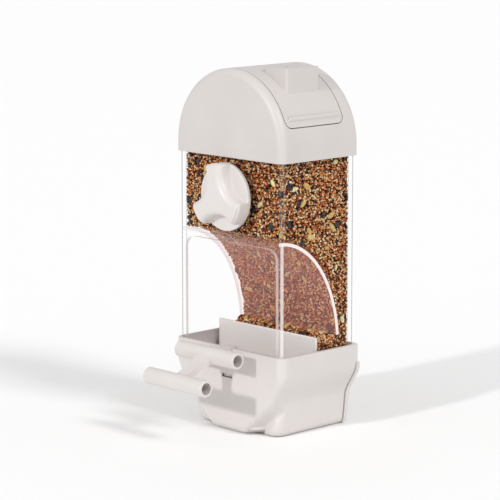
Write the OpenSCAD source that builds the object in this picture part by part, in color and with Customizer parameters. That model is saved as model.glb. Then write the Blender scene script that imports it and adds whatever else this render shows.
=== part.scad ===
// Bird cage feeder: a clear seed hopper with a vaulted filling lid, a catch tray, a perch and a cage clamp.
// Millimetres. +Z is up and -Y is the front, which faces into the cage.
// The origin is the plan centre of the hopper, on the underside of the tray.

/* [Hopper] */
// Outer width of the clear hopper, left to right
body_w = 95; // [80:1:115]
// Outer depth of the clear hopper, front to back
body_d = 65.4; // [60:0.2:75]
// Wall thickness of the clear hopper
body_wall = 2.4; // [1.8:0.1:3.2]
// Radius of the hopper's upright edges
body_corner = 3.2; // [1.6:0.1:4]
// Width of the feeding opening in the front wall
window_w = 84; // [60:1:86]
// Height of the feeding opening above the tray rim
window_h = 68; // [50:1:72]
// Radius of the feeding opening's two upper corners
window_corner = 8; // [3:0.5:14]

/* [Curved partition] */
// Height of the partition's top above the tray rim, where it leaves the front wall
partition_h = 73; // [71:0.5:85]
// Depth of the throat between the partition's lower edge and the back of the hopper
throat = 11.4; // [10:0.2:18]
// Height of the partition's lower edge above the tray rim
partition_foot = 7.5; // [4:0.5:14]
// Thickness of the partition
partition_wall = 2.2; // [1.6:0.1:3]

/* [Tray] */
// Height of the tray rim above the surface it stands on
rim_z = 55; // [48:0.5:70]
// How far the tray rim stands outside the hopper
tray_overhang = 2.7; // [2.3:0.1:4]
// Wall thickness of the tray
tray_wall = 2.3; // [1.6:0.1:2.4]
// Thickness of the tray floor
tray_floor = 2.6; // [1.8:0.1:4]
// Radius of the tray's upright corners at the rim
tray_corner = 6; // [5.6:0.2:9]
// How far the hopper drops into the tray
seat_depth = 10; // [6:0.5:12]
// How far each side sweeps inward below the rim
side_sweep = 10.3; // [4:0.1:11]
// How far the feet stand back from the tray's front panel
foot_set = 8; // [4:0.5:10]
// Half width of the rounded belly between the feet, at floor level
belly_half = 11; // [8:0.5:16]
// Radius under the belly
belly_round = 6; // [4:0.5:8]
// Radius along the bottom edge of the feet
foot_round = 4.5; // [2:0.5:6]

/* [Tray back plate] */
// Thickness of the plate that closes the back of the tray
back_t = 3; // [2:0.1:4]
// How far the plate stands proud of the tray's swept sides
back_lip = 0.8; // [0.6:0.1:2]
// Diameter of the plate's four pegs
peg_d = 5; // [3:0.5:6]

/* [Seed dam] */
// Distance of the dam's front face behind the hopper's front face
dam_back = 32.2; // [28:0.5:36]
// Height of the dam above the tray rim
dam_h = 8; // [4:0.5:12]
// Thickness of the dam
dam_t = 2.2; // [1.6:0.1:3]
// Depth of the foot that the seed holds down
dam_foot = 16; // [10:0.5:20]

/* [Seed] */
// Distance between the mounds that larger seeds raise in the faces of the heap
mound_pitch = 9.9; // [7:0.1:14]
// Height of those mounds
mound_h = 0.8; // [0.4:0.1:1.2]

/* [Lid] */
// Height of the lid's lower edge above the tray rim
lid_h = 123; // [105:0.5:150]
// How far the lid stands outside the hopper
lid_overhang = 2; // [1.9:0.1:3]
// Wall thickness of the lid
lid_wall = 1.7; // [1.2:0.1:1.75]
// Height of the straight skirt below the vault
lid_skirt = 6.6; // [4:0.2:14]
// Radius round the edge of both gables
lid_round = 5; // [4.8:0.1:6]
// How far the hopper reaches up into the lid
lid_lap = 8; // [6:0.5:10]

/* [Refill cover] */
// Thickness of the curved cover
cover_t = 2.2; // [1.6:0.1:2.6]
// Distance of the cover's seam from the outside of the front gable
cover_inset = 6; // [5.6:0.1:9]
// Distance of the cover's seam from the outside of the rear gable
cover_inset_rear = 12.5; // [6:0.5:14]
// Angle of the cover's free edge above the horizontal, in degrees
cover_low = 17.5; // [12:0.5:24]
// Angle of the hinge line above the horizontal, in degrees
cover_high = 104; // [98:0.5:112]
// Radius of the cover's two lower corners
cover_corner = 5; // [3:0.5:8]
// Radius of the knuckle along the hinge line
knuckle_r = 2.6; // [2.4:0.1:3.2]
// Diameter of the pivots at the knuckle's ends
pivot_d = 3; // [2.4:0.1:3.4]
// Length of each pivot
pivot_l = 3; // [2:0.1:3]
// How far the cover swings open, in degrees
cover_swing = 110; // [90:5:120]

/* [Cover handle] */
// Distance of the handle's outer face from the middle of the feeder
handle_x = 35; // [30:0.5:38]
// Width of the handle across the feeder
handle_w = 25; // [18:0.5:28]
// Length of the handle, front to back
handle_d = 27; // [20:0.5:34]
// Height of the handle's flat top above the crown of the lid
handle_rise = 0.9; // [0.6:0.1:4]
// Radius of the handle's upright edges
handle_round = 5; // [3:0.5:7]
// Diameter of the dimple in the handle's top
dimple_d = 11; // [6:0.5:13]

/* [Cage clamp] */
// Distance from the lid's lower edge down to the clamp bolt
clamp_drop = 25; // [16:0.5:40]
// Diameter of the clamp bolt's thread
bolt_d = 6; // [5:0.5:8]
// Diameter of the bolt's domed head
bolt_head_d = 16; // [13:0.5:18]
// Diameter of the clamp knob
knob_d = 43.8; // [38:0.2:46]
// Thickness of the clamp knob
knob_t = 12.5; // [11:0.5:16]
// Thickness of the disc left behind the knob's scoops
knob_disc = 3; // [2:0.2:4]
// Radius of the knob's three scoops
scoop_r = 18; // [15:0.5:24]
// Thickness left between the knob's centre and each scoop
scoop_web = 10.8; // [8:0.2:13]
// Rounding of the lobes' front edges
lobe_round = 4.4; // [2:0.2:6]
// Gap between the hopper and the knob as photographed
clamp_gap = 2; // [1:0.1:4]
// Direction of the first lobe, in degrees from the right
lobe_angle = 95; // [0:5:120]

/* [Perch] */
// Outer diameter of both perch tubes
perch_d = 11; // [9:0.5:13]
// Bore of both perch tubes
perch_bore = 7.6; // [6:0.1:8.4]
// Length of both perch tubes
perch_l = 54; // [46:1:70]
// Distance of the upper tube's axis in front of the hopper
perch_near = 18.5; // [14:0.1:24]
// Drop of the upper tube's axis below the tray rim
perch_near_drop = 2.3; // [2.2:0.1:2.6]
// Distance of the lower tube's axis in front of the hopper
perch_far = 45.5; // [38:0.5:56]
// Drop of the lower tube's axis below the tray rim
perch_far_drop = 15.8; // [12:0.2:24]
// Width of the neck between the tubes at its waist
neck_w = 8.6; // [6:0.2:12]
// Thickness of the neck between the tubes
neck_t = 4.6; // [3:0.2:6]
// Width of the hook over the tray rim
hook_w = 9.4; // [7:0.2:12]

/* [Fits] */
// Gap between pieces that plug or slide into each other
fit = 0.3; // [0.2:0.05:0.45]
// Gap all round the refill cover
seam = 0.4; // [0.3:0.05:0.6]

/* [Hidden] */
$fn = 64;
eps = 0.01;

// Places that several pieces share
body_hw = body_w / 2;
body_hd = body_d / 2;
front_y = -body_hd;
body_bottom = rim_z - seat_depth;
lid_z = rim_z + lid_h;
body_top = lid_z + lid_lap;
inner_hw = body_hw - body_wall;
inner_hd = body_hd - body_wall;
body_corner_in = body_corner - 1.2;
partition_reach = body_d - throat;

// Tray outline
rim_hw = body_hw + tray_overhang;
rim_hd = body_hd + tray_overhang;
sweep_start = seat_depth + 2;
sweep_drop = 24;
sweep_top = rim_z - sweep_start;
sweep_end = sweep_top - sweep_drop;
foot_taper = 2;
belly_flare = 1.15;
belly_blend = 9;
crease = 1.6;
crease_w = 6;
seat_step = 0.4;
rim_lip = 0.7;
seam_corner = 0.6;
back_top = sweep_top + fit;
tray_rear_in = rim_hd - back_t - fit - tray_wall;
floor_bevel = 2;
corner_pts = 7;
front_pts = 38;

// Lid and cover
lid_r = body_hw + lid_overhang;
lid_hd = body_hd + lid_overhang;
vault_z = lid_z + lid_skirt;
cover_y0 = -lid_hd + cover_inset;
cover_y1 = lid_hd - cover_inset_rear;
stop_t = 2;
ledge_t = 1.6;
ledge_w = 3;
knuckle_set = 0.15;
hinge_r = lid_r - knuckle_r - knuckle_set;
hinge_x = hinge_r * cos(cover_high);
hinge_z = vault_z + hinge_r * sin(cover_high);
hinge_bar_r = knuckle_r + seam + ledge_t;
handle_wall = 2.2;
handle_y = -1.2;
handle_top = vault_z + lid_r + handle_rise;
bead_r = 0.8;
dimple_depth = 1;

// Clamp, perch and dam
clamp_z = lid_z - clamp_drop;
knob_back = front_y - clamp_gap;
running = 0.06;
bolt_neck = bolt_d + 0.2;
bolt_head_t = 3.4;
nut_t = 3.2;
nut_af = bolt_d * 1.67;
insert_d = bolt_d + 3.4;
insert_t = 7;
nut_recess = nut_t - clamp_gap + 1.2;
bolt_l = knob_t + clamp_gap - 2.4;
near_y = front_y - perch_near;
near_z = rim_z - perch_near_drop;
far_y = front_y - perch_far;
far_z = rim_z - perch_far_drop;
hook_t = 2.2;
arm_t = 1.2;
catch_drop = 18.3;
catch_z = rim_z - catch_drop;
catch_h = 2.6;
dam_y = front_y + dam_back;
dam_top = rim_z + dam_h;
seed_gap = 0.3;
pile_gap = seed_gap + 0.3 * (tray_corner - tray_wall);
seed_top = lid_z + 3;
heap_hw = inner_hw - seed_gap;
heap_drop = 9;
slope_toe = 2;
slope_step = 0.5;
half_mound = mound_pitch / 2;
heap_stray = rands(0, 1, 997, 5);

// Eased step from 0 to 1
function ease(t) = t <= 0 ? 0 : t >= 1 ? 1 : t * t * (3 - 2 * t);

// How far a quarter round of radius r draws in at height z above its lowest point
function round_in(z, r) = z >= r ? 0 : r - sqrt(r * r - (r - z) * (r - z));

// Half width of the tray at height z
function tray_hw(z) =
    rim_hw - side_sweep * ease((sweep_top - z) / (sweep_top - sweep_end))
    - foot_taper * max(0, sweep_end - z) / sweep_end - round_in(z, foot_round);

// Front of the tray at height z: at its feet, and at the belly between them
function foot_y(z) = -rim_hd + foot_set * ease((sweep_top - z) / (sweep_top - sweep_end)) + round_in(z, foot_round);
function belly_y(z) = -rim_hd + round_in(z, belly_round);
function belly_hw(z) = belly_half + belly_flare * z;

// Back of the tray at height z, stepped in for the back plate
function tray_rear(z) = z < back_top ? rim_hd - back_t - fit : rim_hd;

// Inner half width of the tray: below the hopper's seat the wall thickens into a ledge
function tray_inner_hw(z) =
    z > body_bottom ? body_hw + fit : min(tray_hw(z) - tray_wall, inner_hw);

// Front line of the tray at x, pushed out by the belly and drawn in along its crease
function front_line(x, z, base) =
    let (push = max(0, foot_y(z) - belly_y(z)),
         side = (abs(x) - belly_hw(z)) / belly_blend,
         valley = (abs(x) - belly_hw(z) - belly_blend) / crease_w,
         fade = ease(push / foot_set))
    base - push * (1 - ease(side)) + crease * fade * pow(max(0, 1 - valley * valley), 2);

// One closed outline of the tray: half width hw, front f, back b, corner radius r, for the form at height z
function tray_ring(z, hw, f, b, r, level, rear_r = 0) =
    let (turn = 90 / corner_pts,
         q = rear_r > 0 ? rear_r : r,
         right_front = [for (i = [0:corner_pts])
             [hw - r + r * cos(-90 + i * turn), f + r + r * sin(-90 + i * turn)]],
         right_back = [for (i = [0:corner_pts]) [hw - q + q * cos(i * turn), b - q + q * sin(i * turn)]],
         left_back = [for (i = [0:corner_pts])
             [-hw + q + q * cos(90 + i * turn), b - q + q * sin(90 + i * turn)]],
         left_front = [for (i = [0:corner_pts])
             [-hw + r + r * cos(180 + i * turn), f + r + r * sin(180 + i * turn)]],
         front = [for (i = [1:front_pts - 1]) [(hw - r) * (2 * i / front_pts - 1), f]],
         plan = concat(right_front, right_back, left_back, left_front, front))
    [for (p = plan) [p[0], p[1] < 0 ? front_line(p[0], z, p[1]) : p[1], level]];

function outer_ring(z, b) =
    tray_ring(z, tray_hw(z), foot_y(z), b, tray_corner, z, z < back_top ? seam_corner : back_t + fit);
function inner_ring(z, hw, b, level) =
    tray_ring(z, hw, foot_y(max(z, foot_round)) + tray_wall + (level > body_bottom - 1 ? 0 : seat_step), b,
        tray_corner - tray_wall, level);

// Rounded rectangle with true arcs, centred on the origin
module round_rect(w, d, r) {
    square([w - 2 * r, d], center = true);
    square([w, d - 2 * r], center = true);
    for (x = [-1, 1]) {
        for (y = [-1, 1]) {
            translate([x * (w / 2 - r), y * (d / 2 - r)]) circle(r);
        }
    }
}

// Extrudes a profile drawn in the Y-Z plane by w, centred across the feeder
module across(w) {
    translate([-w / 2, 0, 0]) rotate([90, 0, 90]) linear_extrude(w) children();
}

// Extrudes a profile drawn in the X-Z plane from y0 back to y1
module along(y0, y1) {
    translate([0, y1, 0]) rotate([90, 0, 0]) linear_extrude(y1 - y0) children();
}

// A cylinder from front to back on the axis through x, z
module shaft(x, z, r, y0, y1) {
    translate([x, y1, z]) rotate([90, 0, 0]) cylinder(h = y1 - y0, r = r);
}

// Points of the partition's quarter ellipse, drawn in by t, from its top down to its foot
partition_steps = 30;
function partition_arc(t) =
    let (last = acos(partition_foot / (partition_h - t)))
    [for (i = [0:partition_steps])
        let (a = last * i / partition_steps)
        [front_y + (partition_reach - t) * sin(a), rim_z + (partition_h - t) * cos(a)]];
function reverse(list) = [for (i = [len(list) - 1:-1:0]) list[i]];

// Clear hopper: four walls, the feeding opening and the partition that curves over the feeding room
module hopper_body() {
    color([0.86, 0.9, 0.92, 0.45]) {
        difference() {
            translate([0, 0, body_bottom]) linear_extrude(body_top - body_bottom)
                round_rect(body_w, body_d, body_corner);
            translate([0, 0, body_bottom - 1]) linear_extrude(body_top - body_bottom + 2)
                round_rect(2 * inner_hw, 2 * inner_hd, body_corner_in);
            feeding_opening();
            shaft(0, clamp_z, bolt_neck * 0.5 * sqrt(2) + fit / 2, front_y - 1, front_y + body_wall + 1);
        }
        across(2 * inner_hw + 2 * eps) intersection() {
            polygon(concat(partition_arc(0), reverse(partition_arc(partition_wall))));
            translate([front_y + body_wall / 2, rim_z]) square([body_d, partition_h + 1]);
        }
    }
}

// The feeding opening is cut through the front wall, open at its lower edge
module feeding_opening() {
    along(front_y - 1, front_y + body_wall + 1) {
        translate([-window_w / 2, body_bottom - 1])
            square([window_w, rim_z + window_h - window_corner - body_bottom + 1]);
        translate([-window_w / 2 + window_corner, rim_z + window_h - window_corner - eps])
            square([window_w - 2 * window_corner, window_corner + eps]);
        for (x = [-1, 1]) {
            translate([x * (window_w / 2 - window_corner), rim_z + window_h - window_corner])
                circle(window_corner);
        }
    }
}

// Solid vault with rounded gables on a straight skirt, drawn in by t on every side
module vault(t, bottom) {
    r = max(lid_round - t, 0.6);
    translate([0, 0, bottom]) linear_extrude(vault_z - bottom)
        round_rect(2 * (lid_r - t), 2 * (lid_hd - t), r);
    translate([0, 0, vault_z]) rotate([90, 0, 0]) rotate_extrude(angle = 180) intersection() {
        round_rect(2 * (lid_r - t), 2 * (lid_hd - t), r);
        translate([0, -lid_hd]) square([lid_r, 2 * lid_hd]);
    }
}

// A curved slab on the vault between two radii and two angles, from y0 back to y1
module vault_slab(r_in, r_out, low, high, y0, y1) {
    translate([0, 0, vault_z]) rotate([90, 0, 0]) rotate([0, 0, low]) rotate_extrude(angle = high - low)
        translate([r_in, -y1]) square([r_out - r_in, y1 - y0]);
}

// The cover's outline seen from its free side, grown by g, with two rounded lower corners
module cover_outline(g) {
    low = vault_z + lid_r * sin(cover_low) - g;
    r = cover_corner + g;
    across(4 * lid_r) {
        translate([cover_y0 - g, low + r]) square([cover_y1 - cover_y0 + 2 * g, 2 * lid_r]);
        translate([cover_y0 - g + r, low]) square([cover_y1 - cover_y0 + 2 * (g - r), r + eps]);
        for (y = [cover_y0 - g + r, cover_y1 + g - r]) translate([y, low + r]) circle(r);
    }
}

// White vaulted lid: shell, rebate for the cover, filling mouth, hinge bar and the stop for the hopper
module lid_housing() {
    rebate_r = lid_r - cover_t - fit;
    color([0.9, 0.885, 0.865]) difference() {
        union() {
            difference() {
                vault(0, lid_z);
                vault(lid_wall, lid_z - 1);
            }
            intersection() {
                vault(lid_wall / 2, lid_z);
                union() {
                    vault_slab(rebate_r - ledge_t, lid_r - 1, cover_low - 6, cover_high,
                        cover_y0 - ledge_w, cover_y1 + ledge_w);
                    shaft(hinge_x, hinge_z, hinge_bar_r, -lid_hd, lid_hd);
                }
            }
            translate([0, 0, body_top]) linear_extrude(stop_t) difference() {
                round_rect(2 * lid_r - lid_wall, 2 * lid_hd - lid_wall, lid_round - lid_wall / 2);
                round_rect(2 * inner_hw, 2 * inner_hd, body_corner_in);
            }
        }
        intersection() {
            vault_slab(rebate_r, lid_r + 5, cover_low - 3, cover_high, -2 * lid_hd, 2 * lid_hd);
            cover_outline(seam);
        }
        vault_slab(rebate_r - 2 * ledge_t, lid_r, cover_low + 5, cover_high - 9,
            cover_y0 + ledge_w, cover_y1 - ledge_w);
        hinge_slot();
        shaft(hinge_x, hinge_z, pivot_d / 2 + running, cover_y0 - pivot_l - seam, cover_y1 + pivot_l + seam);
    }
}

// Slot for the knuckle, open on the side that the cover swings over to
module hinge_slot() {
    shaft(hinge_x, hinge_z, knuckle_r + seam, cover_y0 - seam, cover_y1 + seam);
    along(cover_y0 - seam, cover_y1 + seam)
        translate([hinge_x, hinge_z]) rotate(cover_high - 90 + cover_swing)
            square([4 * knuckle_r, knuckle_r + seam - knuckle_set]);
}

// White refill cover: curved panel, knuckle with two pivots, finger bead and hollow block handle
module refill_cover() {
    color([0.92, 0.905, 0.885]) difference() {
        union() {
            intersection() {
                vault_slab(lid_r - cover_t, lid_r, cover_low - 3, cover_high, -2 * lid_hd, 2 * lid_hd);
                cover_outline(0);
            }
            shaft(hinge_x, hinge_z, knuckle_r, cover_y0, cover_y1);
            shaft(hinge_x, hinge_z, pivot_d / 2, cover_y0 - pivot_l, cover_y1 + pivot_l);
            finger_bead();
            handle_solid(0);
        }
        handle_solid(handle_wall);
        handle_dimple();
    }
}

// Block handle, standing on the panel, or its hollow when drawn in by t
module handle_solid(t) {
    difference() {
        translate([handle_x - handle_w / 2, handle_y, vault_z + lid_r / 2])
            linear_extrude(handle_top - t - vault_z - lid_r / 2)
                round_rect(handle_w - 2 * t, handle_d - 2 * t, handle_round - t);
        shaft(0, vault_z, t > 0 ? lid_r - cover_t - 1 : lid_r - cover_t / 2, -body_d, body_d);
    }
}

// Shallow round fingertip dimple in the handle's top
module handle_dimple() {
    translate([handle_x - handle_w / 2, handle_y, handle_top - dimple_depth])
        cylinder(h = dimple_depth + 1, d = dimple_d);
}

// Bead along the cover's free edge for a fingertip
module finger_bead() {
    a = cover_low + 6;
    y0 = cover_y0 + cover_corner - 1;
    y1 = cover_y1 - cover_corner + 1;
    x = (lid_r - 0.1) * cos(a);
    z = vault_z + (lid_r - 0.1) * sin(a);
    shaft(x, z, bead_r, y0, y1);
    for (y = [y0, y1]) translate([x, y, z]) sphere(bead_r);
}

// Heights of the tray's rings: close together where the form turns
foot_levels = [0, 0.07, 0.26, 0.56, 1];
crease_steps = 7;
sweep_steps = 11;
tray_levels = concat(
    [for (k = foot_levels) k * foot_round],
    [for (i = [0:crease_steps - 1]) belly_round + (sweep_end - belly_round) * i / crease_steps],
    [for (i = [0:sweep_steps]) sweep_end + (sweep_top - sweep_end) * i / sweep_steps]
);

// White tray in one lofted skin: feet and belly, swept sides, rim, seat ledge and hollow inside
module tray() {
    outside = concat(
        [for (z = tray_levels) outer_ring(z, tray_rear(z))],
        [outer_ring(back_top, rim_hd), outer_ring(rim_z - rim_lip, rim_hd),
         tray_ring(rim_z, rim_hw - rim_lip, -rim_hd + rim_lip, rim_hd - rim_lip, tray_corner - rim_lip, rim_z,
             back_t + fit - rim_lip)]
    );
    hollow_levels = [for (i = [len(foot_levels) + 1:2:len(tray_levels) - 1])
        if (tray_levels[i] > tray_floor + foot_round && tray_levels[i] < body_bottom - 1) tray_levels[i]];
    low_hw = tray_inner_hw(tray_floor + foot_round);
    inside = concat(
        [inner_ring(rim_z, body_hw + fit, body_hd + fit, rim_z),
         inner_ring(rim_z, body_hw + fit, body_hd + fit, body_bottom),
         tray_ring(body_bottom, tray_inner_hw(body_bottom), foot_y(body_bottom) + tray_wall + seat_step, tray_rear_in,
             tray_corner - tray_wall, body_bottom)],
        [for (z = reverse(hollow_levels)) inner_ring(z, tray_inner_hw(z), tray_rear_in, z)],
        [inner_ring(tray_floor + foot_round, low_hw, tray_rear_in, tray_floor + floor_bevel),
         inner_ring(tray_floor + foot_round, low_hw - floor_bevel, tray_rear_in - floor_bevel, tray_floor)]
    );
    color([0.91, 0.895, 0.875]) difference() {
        ring_solid(concat(outside, inside));
        translate([-hook_w / 2 - fit, -rim_hd - 1, catch_z - catch_h / 2])
            cube([hook_w + 2 * fit, tray_wall + 3, catch_h]);
        back_pegs(fit / 2, tray_rear_in - 1);
    }
}

// Closed solid through rings of equal length, with a fan of triangles over the first ring and the last
module ring_solid(rings) {
    n = len(rings[0]);
    m = len(rings);
    skin = [for (k = [0:m - 2], i = [0:n - 1], half = [0, 1])
        let (a = k * n + i, b = k * n + (i + 1) % n) half == 0 ? [a, a + n, b + n] : [a, b + n, b]];
    first_fan = [for (i = [0:n - 1]) [i, (i + 1) % n, m * n]];
    last_fan = [for (i = [0:n - 1]) [(m - 1) * n + (i + 1) % n, (m - 1) * n + i, m * n + 1]];
    middles = [middle(rings[0]), middle(rings[m - 1])];
    polyhedron(
        points = concat([for (ring = rings, p = ring) p], middles),
        faces = concat(skin, first_fan, last_fan),
        convexity = 8
    );
}

// Point in the middle of a ring's box
function middle(ring) =
    let (y = [for (p = ring) p[1]])
    [0, (min(y) + max(y)) / 2, ring[0][2]];

// Four pegs of the back plate, grown by g, from y0 to the plate
module back_pegs(g, y0) {
    for (x = [-1, 1]) {
        for (z = [sweep_end - 6, sweep_top - 4]) {
            shaft(x * (tray_hw(sweep_end) - 11), z, peg_d / 2 + g, y0, rim_hd - back_t + eps);
        }
    }
}

// White plate on the back of the tray, following its swept sides with a small lip
module tray_back() {
    steps = 24;
    side = [for (i = [0:steps])
        let (z = sweep_top * i / steps, r = foot_round)
        [min(tray_hw(max(z, r)) + back_lip, rim_hw) - round_in(z, r), z]];
    color([0.9, 0.885, 0.865]) {
        along(rim_hd - back_t, rim_hd)
            polygon(concat(side, [for (p = reverse(side)) [-p[0], p[1]]]));
        back_pegs(0, tray_rear_in);
    }
}

// White dam that holds the seed back, with a foot under the seed
module seed_dam() {
    steps = 16;
    low = tray_floor;
    top = dam_top - dam_t / 2;
    side = [for (i = [0:steps])
        let (z = low + (top - low) * i / steps, edge = max(z, tray_floor + foot_round))
        [min(tray_inner_hw(edge), inner_hw) - fit - max(0, low + floor_bevel - z), z]];
    color([0.87, 0.855, 0.84]) {
        along(dam_y, dam_y + dam_t) polygon(concat(side, [for (p = reverse(side)) [-p[0], p[1]]]));
        translate([0, dam_y + dam_t / 2, top]) rotate([0, 90, 0])
            cylinder(h = 2 * side[steps][0], r = dam_t / 2, center = true);
        translate([-side[0][0], dam_y, low]) cube([2 * side[0][0], dam_foot, dam_t]);
    }
}

// The seed: it fills the hopper down to the partition, passes the throat and lies behind the dam
module seed_fill() {
    back = inner_hd - seed_gap;
    dam_face = dam_y + dam_t + seed_gap;
    floor_z = tray_floor + dam_t;
    slope_y = front_y + partition_reach - partition_wall - slope_toe;
    arc_0 = asin((body_wall + seed_gap) / (partition_reach + seed_gap));
    arc_1 = acos(partition_foot / (partition_h + seed_gap));
    arc_n = ceil((partition_reach + partition_h) * (arc_1 - arc_0) * PI / 360 / half_mound);
    arc_top = rim_z + (partition_h + seed_gap) * cos(arc_0);
    top_n = ceil((seed_top - arc_top) / half_mound);
    pile_steps = 5;
    pile = [for (i = [0:pile_steps])
        let (z = floor_z + (body_bottom - floor_z) * i / pile_steps,
             edge = max(z, tray_floor + foot_round))
        heap_ring(i, z, dam_face, tray_rear_in - pile_gap, tray_inner_hw(edge) - pile_gap, 90, 0)];
    slope = [
        heap_ring(1, body_bottom + seed_gap, dam_face, back, heap_hw, 90, 0),
        heap_ring(2, dam_top - heap_drop, dam_face, back, heap_hw, 90, mound_h),
        heap_ring(3, rim_z + partition_foot - slope_step, slope_y, back, heap_hw, 90, mound_h)
    ];
    arc = [for (i = [arc_n:-1:0])
        let (a = arc_0 + (arc_1 - arc_0) * i / arc_n, g = seed_gap)
        heap_ring(i, rim_z + (partition_h + g) * cos(a), front_y + (partition_reach + g) * sin(a), back,
            heap_hw, a, mound_h)];
    upper = [for (i = [1:top_n])
        heap_ring(i, arc_top + (seed_top - arc_top) * i / top_n, -back, back, heap_hw, 90, mound_h)];
    color([0.66, 0.4, 0.2]) difference() {
        ring_solid(concat(pile, slope, arc, upper));
        shaft(0, clamp_z, bolt_head_d / 2 + seed_gap, front_y, front_y + body_wall + bolt_head_t + seed_gap);
    }
}

// How deep the heap's surface lies at point i of row j: mounds and hollows in turn, each a little different
function hollow_at(i, j) = 0.15 + 0.6 * ((i + j) % 2) + 0.25 * heap_stray[(j * 71 + i) % len(heap_stray)];

// The same at height z, eased between two rows
function hollow_between(i, z) =
    let (j = floor(z / half_mound), t = z / half_mound - j)
    hollow_at(i, j) * (1 - t) + hollow_at(i, j + 1) * t;

// Outline of the heap at height z, from front f to back b and hw to each side, with mounds up to high.
// The front leans back to the angle lean and takes its mounds from row j.
function heap_ring(j, z, f, b, hw, lean, high) =
    let (r = body_corner_in - seed_gap,
         mid = r * (1 - sqrt(0.5)),
         nx = 2 * round(2 * inner_hw / mound_pitch),
         ny = 2 * round(2 * inner_hd / mound_pitch),
         run = (b - f - 2 * r) / ny,
         high_y = high * min(1, run / half_mound),
         right_side = [for (i = [0:ny]) [hw - high_y * hollow_between(i, z), f + r + run * i, z]],
         rear = [for (i = [0:nx]) [(hw - r) * (1 - 2 * i / nx), b - high * hollow_between(i + ny, z), z]],
         left_side = [for (i = [0:ny]) [high_y * hollow_between(i + nx, z) - hw, b - r - run * i, z]],
         front = [for (i = [0:nx])
             let (d = high * hollow_at(i, j)) [(hw - r) * (2 * i / nx - 1), f + d * sin(lean), z + d * cos(lean)]])
    concat(right_side, [[hw - mid, b - mid, z]], rear, [[mid - hw, b - mid, z]],
        left_side, [[mid - hw, f + mid, z]], front, [[hw - mid, f + mid, z]]);

// White perch: two tubes, the waisted neck between them and the hook over the tray rim
module perch() {
    color([0.92, 0.905, 0.885]) difference() {
        union() {
            perch_tube(near_y, near_z, perch_d / 2);
            perch_tube(far_y, far_z, perch_d / 2);
            perch_neck();
            perch_hook();
        }
        perch_bore(near_y, near_z);
        perch_bore(far_y, far_z);
    }
}

// One tube with slightly rounded ends, lying across the feeder
module perch_tube(y, z, r) {
    soft = 0.8;
    translate([-perch_l / 2, y, z]) rotate([0, 90, 0]) rotate_extrude() {
        square([r - soft, perch_l]);
        translate([0, soft]) square([r, perch_l - 2 * soft]);
        for (end = [soft, perch_l - soft]) translate([r - soft, end]) circle(soft);
    }
}

module perch_bore(y, z) {
    translate([-perch_l / 2 - 1, y, z]) rotate([0, 90, 0]) cylinder(h = perch_l + 2, d = perch_bore);
}

// Neck in the plane of both tubes: its sides sweep in to the waist and flare towards the tray
module perch_neck() {
    run = [far_y - near_y, far_z - near_z];
    span = norm(run);
    steps = 16;
    flare_near = 5;
    flare_far = 1.6;
    side = [for (i = [0:steps])
        let (t = i / steps, wide = t < 0.6 ? flare_near * pow(1 - t / 0.6, 2) : flare_far * pow((t - 0.6) / 0.4, 2))
        [neck_w / 2 + wide, t * span]];
    translate([0, near_y, near_z]) rotate([atan2(run[1], run[0]), 0, 0])
        translate([0, 0, -neck_t / 2]) linear_extrude(neck_t)
            polygon(concat(side, [for (p = reverse(side)) [-p[0], p[1]]]));
}

// Hook: an arm over the rim, and a leg down the inside with a nib in the tray's catch window
module perch_hook() {
    leg_y = -rim_hd + tray_wall + seat_step + fit;
    translate([-hook_w / 2, near_y, rim_z]) cube([hook_w, leg_y + hook_t - near_y, arm_t]);
    translate([-hook_w / 2, near_y, near_z - hook_t]) cube([hook_w, -rim_hd - fit - near_y, 2 * hook_t]);
    translate([-hook_w / 2, leg_y, catch_z - catch_h]) cube([hook_w, hook_t, rim_z + arm_t - catch_z + catch_h]);
    along(leg_y - 1.4, leg_y + eps) translate([0, catch_z])
        square([hook_w - 2 * fit, catch_h - 2 * fit], center = true);
}

// Steel carriage bolt: domed head inside the hopper, square neck in the wall, thread out through the front
module clamp_bolt() {
    dome_r = (bolt_head_d * bolt_head_d / 4 + bolt_head_t * bolt_head_t) / (2 * bolt_head_t);
    inside_y = front_y + body_wall;
    color([0.75, 0.76, 0.78]) {
        intersection() {
            translate([0, inside_y + bolt_head_t - dome_r, clamp_z]) sphere(dome_r);
            shaft(0, clamp_z, bolt_head_d / 2, inside_y, inside_y + bolt_head_t);
        }
        translate([-bolt_neck / 2, front_y, clamp_z - bolt_neck / 2])
            cube([bolt_neck, body_wall + eps, bolt_neck]);
        shaft(0, clamp_z, bolt_d / 2, front_y - bolt_l, front_y + eps);
    }
}

// Thin steel nut that holds the bolt to the hopper wall
module bolt_nut() {
    color([0.72, 0.73, 0.75]) difference() {
        translate([0, front_y, clamp_z]) rotate([90, 30, 0])
            cylinder(h = nut_t, r = nut_af / sqrt(3), $fn = 6);
        shaft(0, clamp_z, bolt_d / 2, front_y - nut_t - 1, front_y + 1);
    }
}

// White clamp knob: a round disc whose front is scooped between three lobes
module clamp_knob() {
    r = knob_d / 2;
    soft = 2.4;
    color([0.93, 0.92, 0.905]) difference() {
        translate([0, knob_back, clamp_z]) rotate([90, 0, 0]) rotate_extrude() {
            translate([0, 0.8]) square([r, knob_t - soft - 0.8]);
            square([r - 0.8, knob_t]);
            square([r - soft, knob_t]);
            translate([r - 0.8, 0.8]) circle(0.8);
        }
        knob_front_round(r, soft);
        for (i = [0:2]) knob_scoop(lobe_angle + 60 + 120 * i);
        shaft(0, clamp_z, nut_af / sqrt(3) + 1, knob_back - nut_recess, knob_back + 1);
        shaft(0, clamp_z, insert_d / 2 + running, knob_back - nut_recess - insert_t, knob_back - nut_recess + eps);
        shaft(0, clamp_z, bolt_d / 2 + fit, knob_back - knob_t + 1.6, knob_back);
    }
}

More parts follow.
